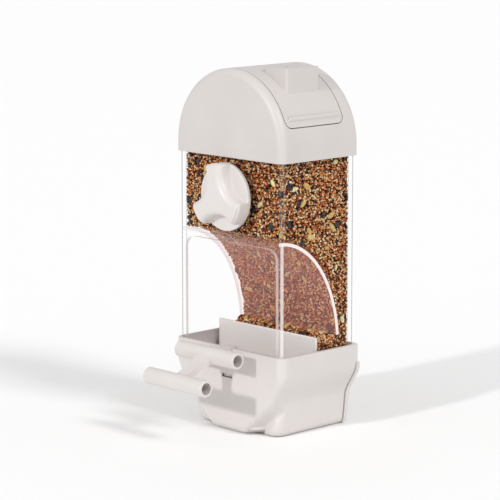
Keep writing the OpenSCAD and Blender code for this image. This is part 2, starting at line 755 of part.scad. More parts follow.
// Round scoop in the knob's edge at angle a, down to the disc, flared to round the lobes' front edges
module knob_scoop(a) {
    at = scoop_web + scoop_r;
    high = knob_t - knob_disc;
    translate([at * cos(a), knob_back - knob_disc, clamp_z + at * sin(a)]) rotate([90, 0, 0])
        rotate_extrude() difference() {
            square([scoop_r + lobe_round, high + 1]);
            translate([scoop_r, -1]) square([lobe_round + 1, high - lobe_round + 1]);
            translate([scoop_r + lobe_round, high - lobe_round]) circle(lobe_round);
        }
}

// What comes off the knob's front edge to leave it rounded
module knob_front_round(r, soft) {
    translate([0, knob_back, clamp_z]) rotate([90, 0, 0]) rotate_extrude() difference() {
        translate([r - soft, knob_t - soft]) square(soft + 1);
        translate([r - soft, knob_t - soft]) circle(soft);
    }
}

// Brass insert with the knob's thread
module knob_insert() {
    color([0.8, 0.66, 0.34]) difference() {
        shaft(0, clamp_z, insert_d / 2, knob_back - nut_recess - insert_t, knob_back - nut_recess);
        shaft(0, clamp_z, bolt_d / 2 + running, knob_back - nut_recess - insert_t - 1, knob_back - nut_recess + 1);
    }
}

hopper_body();
lid_housing();
refill_cover();
tray();
tray_back();
seed_dam();
seed_fill();
perch();
clamp_bolt();
bolt_nut();
clamp_knob();
knob_insert();
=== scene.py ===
import math
import bmesh
import bpy
import numpy as np
from mathutils import Matrix, Vector
from mathutils.bvhtree import BVHTree


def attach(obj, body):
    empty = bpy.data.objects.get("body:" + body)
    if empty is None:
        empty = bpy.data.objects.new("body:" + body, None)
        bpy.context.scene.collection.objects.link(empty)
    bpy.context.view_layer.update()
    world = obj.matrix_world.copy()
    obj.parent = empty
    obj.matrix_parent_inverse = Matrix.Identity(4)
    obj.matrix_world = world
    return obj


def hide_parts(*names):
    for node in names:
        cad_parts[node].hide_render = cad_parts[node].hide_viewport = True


print("loading the feeder's packed frame")
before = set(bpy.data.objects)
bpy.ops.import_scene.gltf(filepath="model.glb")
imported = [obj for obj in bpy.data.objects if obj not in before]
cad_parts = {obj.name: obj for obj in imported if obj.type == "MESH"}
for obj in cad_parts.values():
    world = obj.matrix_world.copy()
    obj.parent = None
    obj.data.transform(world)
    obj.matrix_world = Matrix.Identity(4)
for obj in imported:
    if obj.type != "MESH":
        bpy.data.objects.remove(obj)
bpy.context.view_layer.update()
mm = 0.001


def toLinear(hexColour, alpha=1.0):
    # sRGB hex to the linear values that the shaders take
    parts = [int(hexColour[i:i + 2], 16) / 255 for i in (1, 3, 5)]
    return tuple(c / 12.92 if c <= 0.04045 else ((c + 0.055) / 1.055) ** 2.4 for c in parts) + (alpha,)


def addNode(material, kind, settings=None, **inputs):
    # one node with its settings; an input is a value or a link (node, output), and i0, i1 ... go by number
    tree = material.node_tree
    node = tree.nodes.new(kind)
    for key, value in (settings or {}).items():
        setattr(node, key, value)
    for key, value in inputs.items():
        byNumber = key[0] == "i" and key[1:].isdigit()
        socket = node.inputs[int(key[1:]) if byNumber else key.replace("_", " ")]
        if isinstance(value, tuple) and isinstance(value[0], bpy.types.Node):
            tree.links.new(value[0].outputs[value[1]], socket)
        else:
            socket.default_value = value
    return node


def newMaterial(name):
    material = bpy.data.materials.new(name)
    material.use_nodes = True
    material.node_tree.nodes.clear()
    return material


def finishMaterial(material, shader):
    addNode(material, "ShaderNodeOutputMaterial", Surface=(shader, "BSDF"))
    return material


def colourStops(material, factor, stops):
    # a colour ramp from (place, hex) pairs
    ramp = addNode(material, "ShaderNodeValToRGB", Fac=factor)
    elements = ramp.color_ramp.elements
    while len(elements) > 1:
        elements.remove(elements[0])
    elements[0].position, elements[0].color = stops[0][0], toLinear(stops[0][1])
    for place, colour in stops[1:]:
        elements.new(place).color = toLinear(colour)
    return ramp


patternSizes = {   # mm, the real sizes that the patterns are scaled to
    "flowMarks": 38, "sinkMarks": 14, "mottling": 0.9, "seedCells": 2.1, "zincCrystals": 1.6, "toolFeed": 0.5,
    "mouldGrain": 0.55,   # really 0.1 mm, drawn coarser so that it shows
}


def scaleOf(pattern):
    return 1 / (patternSizes[pattern] * mm)


# Injection-moulded ABS, satin: an even warm white, faintly cloudy, with the fine grain of a sparked mould
def mouldedAbs(name, colour, shade, roughness):
    plastic = newMaterial(name)
    place = addNode(plastic, "ShaderNodeTexCoord")
    cloud = addNode(plastic, "ShaderNodeTexNoise", Vector=(place, "Object"), Scale=scaleOf("flowMarks"), Detail=2.0)
    tint = colourStops(plastic, (cloud, "Fac"), [(0.3, shade), (0.7, colour)])
    grain = addNode(plastic, "ShaderNodeTexNoise", Vector=(place, "Object"), Scale=scaleOf("mouldGrain"), Detail=2.0)
    smoother, rougher = 0.04, 0.05   # how far the grain varies the roughness
    gloss = addNode(plastic, "ShaderNodeMapRange", Value=(grain, "Fac"),
                    To_Min=roughness - smoother, To_Max=roughness + rougher)
    relief = addNode(plastic, "ShaderNodeBump", Height=(grain, "Fac"), Strength=0.06, Distance=0.05 * mm)
    shader = addNode(plastic, "ShaderNodeBsdfPrincipled", Base_Color=(tint, "Color"), Roughness=(gloss, "Result"),
                     Normal=(relief, "Normal"), IOR=1.53)
    return finishMaterial(plastic, shader)


# General-purpose polystyrene from a polished mould: water-clear face on, paler and less clear at a slant; besides its
# own gloss, the pale coat there is a painted reflection of the bright surround
def clearPolystyrene(name, colour, faceOn, grazing, falloff, roughness):
    clear = newMaterial(name)
    facing = addNode(clear, "ShaderNodeLayerWeight", Blend=falloff)
    cover = addNode(clear, "ShaderNodeMapRange", Value=(facing, "Facing"), To_Min=faceOn, To_Max=grazing)
    place = addNode(clear, "ShaderNodeTexCoord")
    ripple = addNode(clear, "ShaderNodeTexNoise", Vector=(place, "Object"), Scale=scaleOf("sinkMarks"), Detail=1.0)
    relief = addNode(clear, "ShaderNodeBump", Height=(ripple, "Fac"), Strength=0.12, Distance=0.12 * mm)
    shader = addNode(clear, "ShaderNodeBsdfPrincipled", Base_Color=toLinear(colour), Roughness=roughness, IOR=1.59,
                     Alpha=(cover, "Result"), Normal=(relief, "Normal"))
    return finishMaterial(clear, shader)


# The same polystyrene where the partition's moulded edge meets the side wall, drawn pale: a painted highlight for the
# light that the thick edge carries inside the plastic
def paintedEdgeLight(name, colour, cover):
    edge = newMaterial(name)
    shader = addNode(edge, "ShaderNodeBsdfPrincipled", Base_Color=toLinear(colour), Roughness=0.25, IOR=1.59,
                     Alpha=cover)
    return finishMaterial(edge, shader)


# Dry seed coats, hard and slightly waxy, so each grain takes a small highlight.
# The colour changes from grain to grain and deepens towards each grain's foot: painted shade where the grain meets
# the heap
def seedCoat(name, stops, roughness, foot="#3b1706"):
    coat = newMaterial(name)
    own = addNode(coat, "ShaderNodeAttribute", {"attribute_name": "grainShade"})
    tint = colourStops(coat, (own, "Fac"), stops)
    place = addNode(coat, "ShaderNodeTexCoord")
    mottle = addNode(coat, "ShaderNodeTexNoise", Vector=(place, "Object"), Scale=scaleOf("mottling"), Detail=2.0)
    patch = colourStops(coat, (mottle, "Fac"), [(0.35, "#b7b1ab"), (0.62, "#ffffff")])
    worn = addNode(coat, "ShaderNodeMix", {"data_type": "RGBA", "blend_type": "MULTIPLY"}, Factor=1.0,
                   i6=(tint, "Color"), i7=(patch, "Color"))   # i6 and i7 are the colours A and B
    # painted shade: each grain darkens towards its foot
    low = addNode(coat, "ShaderNodeAttribute", {"attribute_name": "grainFoot"})
    deep = addNode(coat, "ShaderNodeMix", {"data_type": "RGBA"}, Factor=(low, "Fac"),
                   i6=(worn, "Result"), i7=toLinear(foot))
    shader = addNode(coat, "ShaderNodeBsdfPrincipled", Base_Color=(deep, "Result"), Roughness=roughness, IOR=1.47,
                     Specular_IOR_Level=0.4)
    return finishMaterial(coat, shader)


# Seed deeper in the heap: cells as big as grains in the same colours, much darker for want of light
def deepSeed(name):
    deep = newMaterial(name)
    place = addNode(deep, "ShaderNodeTexCoord")
    cells = addNode(deep, "ShaderNodeTexVoronoi", Vector=(place, "Object"), Scale=scaleOf("seedCells"))
    pick = addNode(deep, "ShaderNodeSeparateColor", Color=(cells, "Color"))
    tint = colourStops(deep, (pick, "Red"), [(0.0, "#0c0401"), (0.4, "#1f0a03"), (0.8, "#331206"), (1.0, "#47200d")])
    dome = addNode(deep, "ShaderNodeMath", {"operation": "SUBTRACT"}, i0=1.0, i1=(cells, "Distance"))
    relief = addNode(deep, "ShaderNodeBump", Height=(dome, "Value"), Strength=0.9, Distance=1.0 * mm)
    shader = addNode(deep, "ShaderNodeBsdfPrincipled", Base_Color=(tint, "Color"), Roughness=0.7,
                     Normal=(relief, "Normal"), Specular_IOR_Level=0.08)
    return finishMaterial(deep, shader)


# Zinc-plated steel, tumbled: bright grey with soft blotches in its gloss
def zincSteel(name):
    zinc = newMaterial(name)
    place = addNode(zinc, "ShaderNodeTexCoord")
    blotch = addNode(zinc, "ShaderNodeTexNoise", Vector=(place, "Object"), Scale=scaleOf("zincCrystals"), Detail=3.0)
    gloss = addNode(zinc, "ShaderNodeMapRange", Value=(blotch, "Fac"), To_Min=0.22, To_Max=0.42)
    shader = addNode(zinc, "ShaderNodeBsdfPrincipled", Base_Color=toLinear("#c6c9cc"), Metallic=1.0,
                     Roughness=(gloss, "Result"))
    return finishMaterial(zinc, shader)


# Free-cutting brass, turned: yellow with fine rings from the tool
def turnedBrass(name):
    brass = newMaterial(name)
    place = addNode(brass, "ShaderNodeTexCoord")
    rings = addNode(brass, "ShaderNodeTexWave", {"bands_direction": "Y"}, Vector=(place, "Object"),
                    Scale=scaleOf("toolFeed"))
    relief = addNode(brass, "ShaderNodeBump", Height=(rings, "Fac"), Strength=0.2, Distance=0.05 * mm)
    shader = addNode(brass, "ShaderNodeBsdfPrincipled", Base_Color=toLinear("#c9a558"), Metallic=1.0, Roughness=0.28,
                     Normal=(relief, "Normal"))
    return finishMaterial(brass, shader)


print("mixing the materials")
whiteAbs = mouldedAbs("mouldedWhiteAbs", colour="#cfc9c6", shade="#cac4c1", roughness=0.42)
# The tray's ABS is the housing's white painted lighter: painted light that brightens the tray, its back plate and the
# perch
trayAbs = mouldedAbs("mouldedTrayAbs", colour="#d8d2cf", shade="#d3cdca", roughness=0.42)
knobAbs = mouldedAbs("mouldedKnobAbs", colour="#dad4d2", shade="#d5cfcc", roughness=0.36)
# The dam's ABS is painted lighter still: painted light that brightens the dam where it stands in shade inside the
# tray
damAbs = mouldedAbs("mouldedDamAbs", colour="#e6e0dd", shade="#e1dbd8", roughness=0.5)
clearWall = clearPolystyrene("clearPolystyreneWall", "#f2eeee",
                             faceOn=0.0, grazing=0.35, falloff=0.015, roughness=0.06)
# Pale pink on the curved partition: a painted reflection, the glare that the partition and the side wall lay over the
# seeds behind them
clearCurve = clearPolystyrene("clearPolystyreneCurve", "#ffb9b2",
                              faceOn=0.08, grazing=0.5, falloff=0.12, roughness=0.1)
# Grey on the hopper's rounded upright corners: painted shade, the line that refraction draws along a thick clear
# corner
clearCorner = clearPolystyrene("clearPolystyreneCorner", "#a9adb4",
                               faceOn=0.0, grazing=1.0, falloff=0.38, roughness=0.08)
# Near-white on the front right corner beside the opening: a painted highlight
clearLowCorner = clearPolystyrene("clearPolystyreneLowCorner", "#f6f1f1",
                                  faceOn=0.32, grazing=0.85, falloff=0.25, roughness=0.08)
# Pale pink round the feeding opening's edges: a painted highlight along its rim
clearRim = clearPolystyrene("clearPolystyreneRim", "#f1e3e1",
                            faceOn=0.42, grazing=0.85, falloff=0.4, roughness=0.08)
clearEdge = paintedEdgeLight("clearPolystyreneEdge", "#fdf1ef", cover=0.85)
faintEdge = paintedEdgeLight("clearPolystyreneFaintEdge", "#fdf1ef", cover=0.15)
zinc = zincSteel("tumbledZincSteel")
brass = turnedBrass("turnedBrass")
shadedSeed = deepSeed("shadedSeed")
grainCoats = {
    "redMillet": seedCoat("redMilletCoat", [
        (0.0, "#641e05"), (0.3, "#ad4811"), (0.6, "#df752b"), (0.85, "#f7a65a"), (1.0, "#ffcd98")], 0.22),
    "goldenMillet": seedCoat("goldenMilletCoat", [
        (0.0, "#bf6c2a"), (0.4, "#efac60"), (0.7, "#ffd396"), (1.0, "#ffecc9")], 0.22),
    "darkGrains": seedCoat("rapeCoat", [(0.0, "#0d0a09"), (0.5, "#1d1716"), (1.0, "#3d2a20")], 0.3, "#080403"),
    "paleGrains": seedCoat("canaryCoat", [(0.0, "#e0b06a"), (0.5, "#f3d596"), (1.0, "#fff0cb")], 0.3),
    "largeSeeds": seedCoat("hulledSeedCoat", [
        (0.0, "#1c191a"), (0.27, "#352c28"), (0.32, "#d9b265"), (0.7, "#efd089"), (1.0, "#fbebb6")], 0.35, "#5a3312"),
}


def fitPiece(obj, name, material, body, replaced=()):
    # names the piece, gives it its finish and its body, and hides the solids that it stands for
    obj.name = name
    obj.data.name = name
    obj.data.materials.clear()
    for m in material if isinstance(material, list) else [material]:
        obj.data.materials.append(m)
    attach(obj, body)
    if replaced:
        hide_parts(*replaced)


def linkedObject(name, data):
    obj = bpy.data.objects.new(name, data)
    bpy.context.scene.collection.objects.link(obj)
    return obj


def newMesh(name, points, faces, smooth=True):
    mesh = bpy.data.meshes.new(name)
    mesh.from_pydata([tuple(p) for p in points], [], [tuple(f) for f in faces])
    mesh.polygons.foreach_set("use_smooth", [smooth] * len(mesh.polygons))
    mesh.update()
    return linkedObject(name, mesh)


def applied(obj):
    # the mesh as its modifiers leave it
    graph = bpy.context.evaluated_depsgraph_get()
    done = bpy.data.meshes.new_from_object(obj.evaluated_get(graph))
    old = obj.data
    obj.modifiers.clear()
    obj.data = done
    bpy.data.meshes.remove(old)
    return obj


rounded = {"weld": 0.004, "flat": 0.6, "sharp": 32.0, "segments": 2}   # mm, degrees, degrees


def softened(node, edge, reshape=None):
    # a copy of a CAD node with its corners welded, its coplanar facets joined and its sharp edges broken
    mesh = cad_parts[node].data.copy()
    work = bmesh.new()
    work.from_mesh(mesh)
    bmesh.ops.remove_doubles(work, verts=work.verts, dist=rounded["weld"] * mm)
    bmesh.ops.dissolve_limit(work, angle_limit=math.radians(rounded["flat"]), verts=work.verts, edges=work.edges)
    if reshape:
        for v in work.verts:
            v.co = reshape(v.co / mm) * mm
    work.to_mesh(mesh)
    work.free()
    obj = linkedObject(node, mesh)
    mesh.polygons.foreach_set("use_smooth", [True] * len(mesh.polygons))
    if edge:
        rounding = obj.modifiers.new("edge", "BEVEL")
        rounding.width, rounding.segments = edge * mm, rounded["segments"]
        rounding.limit_method, rounding.angle_limit = "ANGLE", math.radians(rounded["sharp"])
        rounding.harden_normals = False
    even = obj.modifiers.new("even", "WEIGHTED_NORMAL")
    even.keep_sharp = True
    return applied(obj)


coverForm = {   # mm unless said: the cover on the vault, and where its parts go to be drawn as the real ones are
    "vault": 183.9, "radius": 50.2, "slack": 0.05,   # the vault's axis, its radius, and how near counts as on it
    "across": ((-100, 4, 10, 15, 30, 35, 100),   # x in the solid, and as drawn: the handle comes out squarer
               (-100, 4, 15, 16.3, 33.7, 35, 100)),
    "along": ((-100, -24.4, -14.7, -9.7, 7.3, 12.3, 17.9, 100),   # the same for y
              (-100, -24.4, -16.7, -15.4, 10.7, 12.0, 17.9, 100)),
    "dimple": {"middle": (22.5, -1.2), "reach": 5.6, "newMiddle": (25.0, -2.35), "scale": 0.82},
    "bead": {"angle": 23.5, "half": 3.5, "rise": 2.4, "wide": 2.2},   # degrees up the vault, and how it grows
    "panel": {"depth": 1.1, "half": 1.3, "crown": 96,   # where its wall is, and how many degrees up it ends
              "ends": (-24.4, 17.9), "low": 204.0, "round": 5.0, "gap": 0.25},   # the gap is its seam
}


def squareHandle(p):
    # squares up the handle's block, keeps its foot and the panel on the vault, and raises the finger bead
    vault, radius = coverForm["vault"], coverForm["radius"]
    dimple, bead, panel = coverForm["dimple"], coverForm["bead"], coverForm["panel"]
    away, angle = math.hypot(p.x, p.z - vault), math.degrees(math.atan2(p.z - vault, p.x))
    outside = away > radius + coverForm["slack"]
    if outside and abs(angle - bead["angle"]) < bead["half"]:
        away += (away - radius) * (bead["rise"] - 1)
        angle = math.radians(bead["angle"] + (angle - bead["angle"]) * bead["wide"])
        return Vector((away * math.cos(angle), p.y, vault + away * math.sin(angle)))
    x, y, z = p
    if abs(away - radius + panel["depth"]) < panel["half"] and angle < panel["crown"]:
        tight = panel["gap"] / panel["round"]
        y += max(panel["ends"][0] - y, 0) * tight - max(y - panel["ends"][1], 0) * tight
        if z < panel["low"]:
            z += (panel["low"] - z) * tight
            x = math.sqrt(away ** 2 - (z - vault) ** 2)
    if outside and math.hypot(x - dimple["middle"][0], y - dimple["middle"][1]) < dimple["reach"]:
        moved = [new + (old - middle) * dimple["scale"]
                 for old, middle, new in zip((x, y), dimple["middle"], dimple["newMiddle"])]
        return Vector(moved + [z])
    newX, newY = float(np.interp(x, *coverForm["across"])), float(np.interp(y, *coverForm["along"]))
    if not outside and newX != x:
        z = vault + math.sqrt(away ** 2 - newX ** 2)
    return Vector((newX, newY, z))


print("rounding the moulded shells")
shells = {   # edge: how far each moulding's sharp edges are broken, mm
    "lid_housing": {"name": "lidShell", "edge": 0.35, "material": whiteAbs, "body": "feeder"},
    "refill_cover": {"name": "refillCover", "edge": 0.35, "material": whiteAbs, "body": "cover",
                     "reshape": squareHandle},
    "tray": {"name": "catchTray", "edge": 0.0, "material": trayAbs, "body": "feeder"},
    "tray_back": {"name": "trayBackPlate", "edge": 0.4, "material": trayAbs, "body": "feeder"},
    "seed_dam": {"name": "seedDam", "edge": 0.3, "material": damAbs, "body": "feeder"},
    "perch": {"name": "twinPerch", "edge": 0.3, "material": trayAbs, "body": "feeder"},
}
for node, shell in shells.items():
    piece = softened(node, shell["edge"], shell.get("reshape"))
    fitPiece(piece, shell["name"], shell["material"], shell["body"], [node])

partition = {   # mm, the hopper's curved partition: a quarter ellipse about the front wall's face at the tray's rim
    "front": -32.7, "rim": 55.0, "reach": 54.0, "rise": 73.0, "thick": 2.2,
    "foot": 7.5,   # it ends this far above the rim
}
clearParts = {   # mm unless said: where the hopper's faces change from the plain wall's finish to another
    "edge": 0.35, "cut": 0.01,   # how far its edges are broken, and the slack of the cut at the partition's top
    "curve": {"halfWidth": 44.0, "skin": (-0.4, 3.1),   # skin is measured in from the partition's outer face
              "out": (0.04, 1.02), "across": 0.2},   # a share of its reach, and of a face's normal
    "corner": {"upright": 0.1, "turned": 0.1, "line": 0.4},   # shares of a face's normal
    "rim": {"halfWidth": 46.5, "rear": -30.2,
            "span": (-0.1, 1.1), "across": 0.5},   # a share of the partition's rise, and of a face's normal
}
wallFinish, curveFinish, cornerFinish, lowCornerFinish, rimFinish = range(5)


def clearFinish(face):
    # which of the five clear finishes a face of the hopper takes
    curve, corner, rim = clearParts["curve"], clearParts["corner"], clearParts["rim"]
    x, y, z = face.center / mm
    out, up = (y - partition["front"]) / partition["reach"], (z - partition["rim"]) / partition["rise"]
    inFromArc = (1 - math.hypot(out, up)) * partition["reach"]
    turned = min(abs(face.normal.x), abs(face.normal.y))
    if (abs(face.normal.x) < curve["across"] and abs(x) < curve["halfWidth"]
            and curve["skin"][0] < inFromArc < curve["skin"][1] and curve["out"][0] < out < curve["out"][1]):
        return curveFinish
    if abs(face.normal.z) < corner["upright"] and turned > corner["turned"]:
        if up < 1 and x > 0 > y:   # beside the opening, the front right corner shows as a narrow pale line, a painted highlight
            return lowCornerFinish if turned > corner["line"] else wallFinish
        return cornerFinish
    if (y < rim["rear"] and abs(face.normal.y) < rim["across"] and abs(x) < rim["halfWidth"]
            and rim["span"][0] < up < rim["span"][1]):
        return rimFinish
    return wallFinish


hopper = softened("hopper_body", clearParts["edge"])
work = bmesh.new()
work.from_mesh(hopper.data)
bmesh.ops.bisect_plane(work, geom=work.verts[:] + work.edges[:] + work.faces[:], dist=clearParts["cut"] * mm,
                       plane_co=(0, 0, (partition["rim"] + partition["rise"]) * mm), plane_no=(0, 0, 1))
work.to_mesh(hopper.data)
work.free()
fitPiece(hopper, "clearHopper", [clearWall, clearCurve, clearCorner, clearLowCorner, clearRim],
         "feeder", ["hopper_body"])
for face in hopper.data.polygons:
    face.material_index = clearFinish(face)

print("finishing the clamp's hardware")
hardware = {
    "clamp_bolt": {"name": "carriageBolt", "edge": 0.15, "material": zinc, "body": "feeder", "slot": "zinc_steel"},
    "bolt_nut": {"name": "thinNut", "edge": 0.2, "material": zinc, "body": "feeder", "slot": "zinc_steel"},
    "knob_insert": {"name": "threadedInsert", "edge": 0.1, "material": brass, "body": "insert", "slot": "brass"},
}
for node, part in hardware.items():
    fitPiece(softened(node, part["edge"]), part["name"], part["material"], part["body"], [node])

print("rounding the three-lobed knob")
knob = {   # mm: the disc against the cage and the hub's bores stay as they are
    "back": -34.7, "height": 153.0, "disc": 1.2, "hub": 8.0, "face": 11.4,
    "voxel": 0.36, "passes": 14, "strength": 0.6,
}
knobObj = softened("clamp_knob", 0.0)
voxels = knobObj.modifiers.new("voxels", "REMESH")
voxels.mode, voxels.voxel_size, voxels.use_smooth_shade = "VOXEL", knob["voxel"] * mm, True
applied(knobObj)


def onLobe(x, y, z):
    # is a point of the knob outside its disc and hub, or on its face?
    forward = knob["back"] - y
    return forward > knob["disc"] and math.hypot(x, z - knob["height"]) > knob["hub"] or forward > knob["face"]


lobes = knobObj.vertex_groups.new(name="lobes")
lobes.add([v.index for v in knobObj.data.vertices if onLobe(*(v.co / mm))], 1.0, "REPLACE")
rounding = knobObj.modifiers.new("rounding", "SMOOTH")
rounding.factor, rounding.iterations, rounding.vertex_group = knob["strength"], knob["passes"], "lobes"
applied(knobObj)
fitPiece(knobObj, "clampKnob", knobAbs, "knob", ["clamp_knob"])

seed = {   # mm unless said
    "wallX": 45.1, "frontY": -30.3, "rearY": 30.3, "topZ": 181.0, "seatZ": 46.0,   # the hopper's inner faces
    "damY": 1.7, "damClear": 0.8, "boltZ": 153.0, "boltHead": 8.6,
    "spacing": 1.75, "rowRatio": 0.866, "jog": 0.2,   # between grains; the last two are shares of it
    "bedDepth": 1.3, "bedCorner": 1.6,   # how far the bed lies below, and at most how many times that at corners
    "arcStart": 0.05, "arcSteps": 400, "arcClear": 0.9,   # arcStart in radians
    "corner": {"round": 2.0, "turns": (0.4, 1.17), "close": 0.9, "jog": 0.3, "overlap": 2.0},   # turns in radians
    "slope": {"low": (2.0, 54.0), "high": (17.1, 62.0)},   # (y, z) of the open heap behind the dam
    "under": {"past": 2.4, "before": 0.6, "close": 0.9, "out": (0, -0.5, 0.866)},   # below the partition's foot
    "turnUp": {"rows": ((0.0, (0, -0.85, 0.53)), (0.7, (0, -0.97, 0.24))),   # height above the foot, direction
               "in": 0.6, "close": 0.85, "jog": 0.2, "ends": (0.8, 0.4)},
    "shares": {"redMillet": 0.47, "goldenMillet": 0.41, "darkGrains": 0.06, "paleGrains": 0.06},
    "largeShare": 0.011, "largeClear": 2.6,   # and how far small grains keep from the middle of a large seed
    "seedNumber": 27,   # of the random draws
}
rng = np.random.default_rng(seed["seedNumber"])
halfX, frontY, rearY, step = seed["wallX"], seed["frontY"], seed["rearY"], seed["spacing"]
openingTop, seatZ, topZ = partition["rim"] + partition["rise"], seed["seatZ"], seed["topZ"]

print("laying the seed bed")
bed = softened("seed_fill", 0.0)
work = bmesh.new()
work.from_mesh(bed.data)
bmesh.ops.triangulate(work, faces=work.faces)
bmesh.ops.recalc_face_normals(work, faces=work.faces)
moves = [(v, v.normal * v.calc_shell_factor()) for v in work.verts]
for v, move in moves:
    v.co -= move.normalized() * min(move.length, seed["bedCorner"]) * seed["bedDepth"] * mm
work.to_mesh(bed.data)
work.free()
fitPiece(bed, "seedBed", shadedSeed, "feeder", ["seed_fill"])


def arcPoint(angle, inset=0.0):
    # (y, z) on the partition's outer face, or inset from it; the angle is 0 at its top
    return (partition["front"] + (partition["reach"] - inset) * math.sin(angle),
            partition["rim"] + (partition["rise"] - inset) * math.cos(angle))


def aboveArc(y, z):
    # is a point on the seed's side of the partition, or behind the dam where the partition has ended?
    away, up = (y - partition["front"]) / partition["reach"], (z - partition["rim"]) / partition["rise"]
    if up > partition["foot"] / partition["rise"]:
        return away ** 2 + up ** 2 > 1.0
    return y > seed["damY"] + seed["damClear"]


def hexGrid(width, height, step):
    # places for grains in staggered rows over a width x height patch, each jogged a little
    rowStep = step * seed["rowRatio"]
    places = np.array([((i + 0.5 * (j % 2)) * step, j * rowStep)
                       for j in range(int(height / rowStep) + 1) for i in range(int(width / step) + 1)])
    places += rng.normal(0, seed["jog"] * step, places.shape)
    return places[(places[:, 0] < width) & (places[:, 1] < height) & (places > 0).all(axis=1)]


print("scattering the grains")
spots = []   # (point, outward direction)
for u, v in hexGrid(2 * halfX, topZ - openingTop, step):   # behind the front wall, clear of the bolt's head
    x, z = u - halfX, v + openingTop
    if math.hypot(x, z - seed["boltZ"]) > seed["boltHead"]:
        spots.append(((x, frontY, z), (0, -1, 0)))
for side in (-1, 1):
    for u, v in hexGrid(rearY - frontY, topZ - seatZ, step):
        y, z = u + frontY, v + seatZ
        if aboveArc(y - seed["arcClear"], z - seed["arcClear"]):
            spots.append(((side * halfX, y, z), (side, 0, 0)))
for u, v in hexGrid(2 * halfX, topZ - seatZ, step):   # rear wall
    spots.append(((u - halfX, rearY, v + seatZ), (0, 1, 0)))
for u, v in hexGrid(2 * halfX, rearY - frontY, step):   # top of the heap
    spots.append(((u - halfX, v + frontY, topZ), (0, 0, 1)))

arcEnd = math.acos(partition["foot"] / partition["rise"])
arcAngles = np.linspace(seed["arcStart"], arcEnd, seed["arcSteps"])
arcPoints = np.array([arcPoint(a) for a in arcAngles])
arcLength = np.concatenate([[0], np.cumsum(np.linalg.norm(np.diff(arcPoints, axis=0), axis=1))])
for u, v in hexGrid(2 * halfX, arcLength[-1], step):   # against the curved partition
    a = float(np.interp(v, arcLength, arcAngles))
    y, z = arcPoint(a)
    out = Vector((0, -math.sin(a) / partition["reach"], -math.cos(a) / partition["rise"])).normalized()
    if y > frontY:
        spots.append(((u - halfX, y, z), tuple(out)))

corner = seed["corner"]
for side in (-1, 1):
    for back in (-1, 1):   # the heap's upright corners
        for z in np.arange(seatZ, topZ, step * corner["close"]):
            for turn in corner["turns"]:
                x = side * (halfX - corner["round"] * (1 - math.cos(turn)))
                y = back * (rearY - corner["round"] * (1 - math.sin(turn)))
                if back > 0 or z > openingTop - corner["overlap"]:
                    out = (side * math.cos(turn), back * math.sin(turn), 0)
                    spots.append(((x, y, z + rng.normal(0, corner["jog"])), out))

slopeLow, slopeHigh = Vector((0, *seed["slope"]["low"])), Vector((0, *seed["slope"]["high"]))
slopeRun = (slopeHigh - slopeLow).length
slopeOut = Vector((0, -(slopeHigh - slopeLow).z, (slopeHigh - slopeLow).y)).normalized()
for u, v in hexGrid(2 * halfX, slopeRun, step):   # open slope behind the dam
    p = slopeLow.lerp(slopeHigh, v / slopeRun)
    spots.append(((u - halfX, p.y, p.z), tuple(slopeOut)))

under, turnUp = seed["under"], seed["turnUp"]
arcFoot = Vector((0, *arcPoints[-1]))
underRun = (arcFoot - slopeHigh).length
for u, v in hexGrid(2 * halfX, underRun + under["past"], step * under["close"]):   # below the partition's foot
    p = slopeHigh.lerp(arcFoot, (v - under["before"]) / underRun)
    spots.append(((u - halfX, p.y, p.z), under["out"]))
for tall, out in turnUp["rows"]:   # and where the heap turns up behind the partition
    for x in np.arange(-halfX + turnUp["ends"][0], halfX - turnUp["ends"][1], step * turnUp["close"]):
        spots.append(((x + rng.normal(0, turnUp["jog"]), arcFoot.y - turnUp["in"], arcFoot.z + tall), out))

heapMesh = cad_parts["seed_fill"].data
heap = BVHTree.FromPolygons([v.co for v in heapMesh.vertices], [tuple(f.vertices) for f in heapMesh.polygons])
heapCast = {"from": 2.0, "reach": 5.0}   # mm, how far outside a cast starts and how far it looks


def onHeap(point, out):
    # the point moved straight in to the heap's own surface, or None where the heap has none there
    start = (Vector(point) + heapCast["from"] * Vector(out)) * mm
    hit = heap.ray_cast(start, -Vector(out), heapCast["reach"] * mm)[0]
    return None if hit is None else tuple(hit / mm)


spots = [(hit, out) for hit, out in ((onHeap(point, out), out) for point, out in spots) if hit]

grainSizes = {   # half length, width and height in mm, how much they vary, tilt in radians, and sink in mm
    "redMillet": {"half": (0.98, 0.9, 0.85), "spread": 0.1, "levels": 1, "tilt": 0.35, "sink": 0.45},
    "goldenMillet": {"half": (0.95, 0.88, 0.85), "spread": 0.1, "levels": 1, "tilt": 0.35, "sink": 0.45},
    "darkGrains": {"half": (1.2, 0.95, 0.8), "spread": 0.25, "levels": 1, "tilt": 0.35, "sink": 0.45},
    "paleGrains": {"half": (1.7, 0.8, 0.75), "spread": 0.18, "levels": 1, "tilt": 0.35, "sink": 0.45},
    "largeSeeds": {"half": (3.1, 1.9, 0.9), "spread": 0.26, "levels": 2, "tilt": 0.12, "sink": 0.0},
}
grainForm = {
    "cutOff": -0.75,   # in half heights: the hidden foot of each grain is left off below this
    "least": 0.6, "most": 1.5,   # limits of a grain's size, as a share of its kind's
    "proud": 0.05, "clear": 0.1,   # mm, how far grains stand out of the heap, and stay inside its outline
    "sideOn": 0.7,   # a wall facing more than this to the side has its grains turned about y
    "shadeFrom": 0.75, "shadeSlope": 1.15, "shadePower": 1.3,   # how the foot's painted shade fades upwards
}


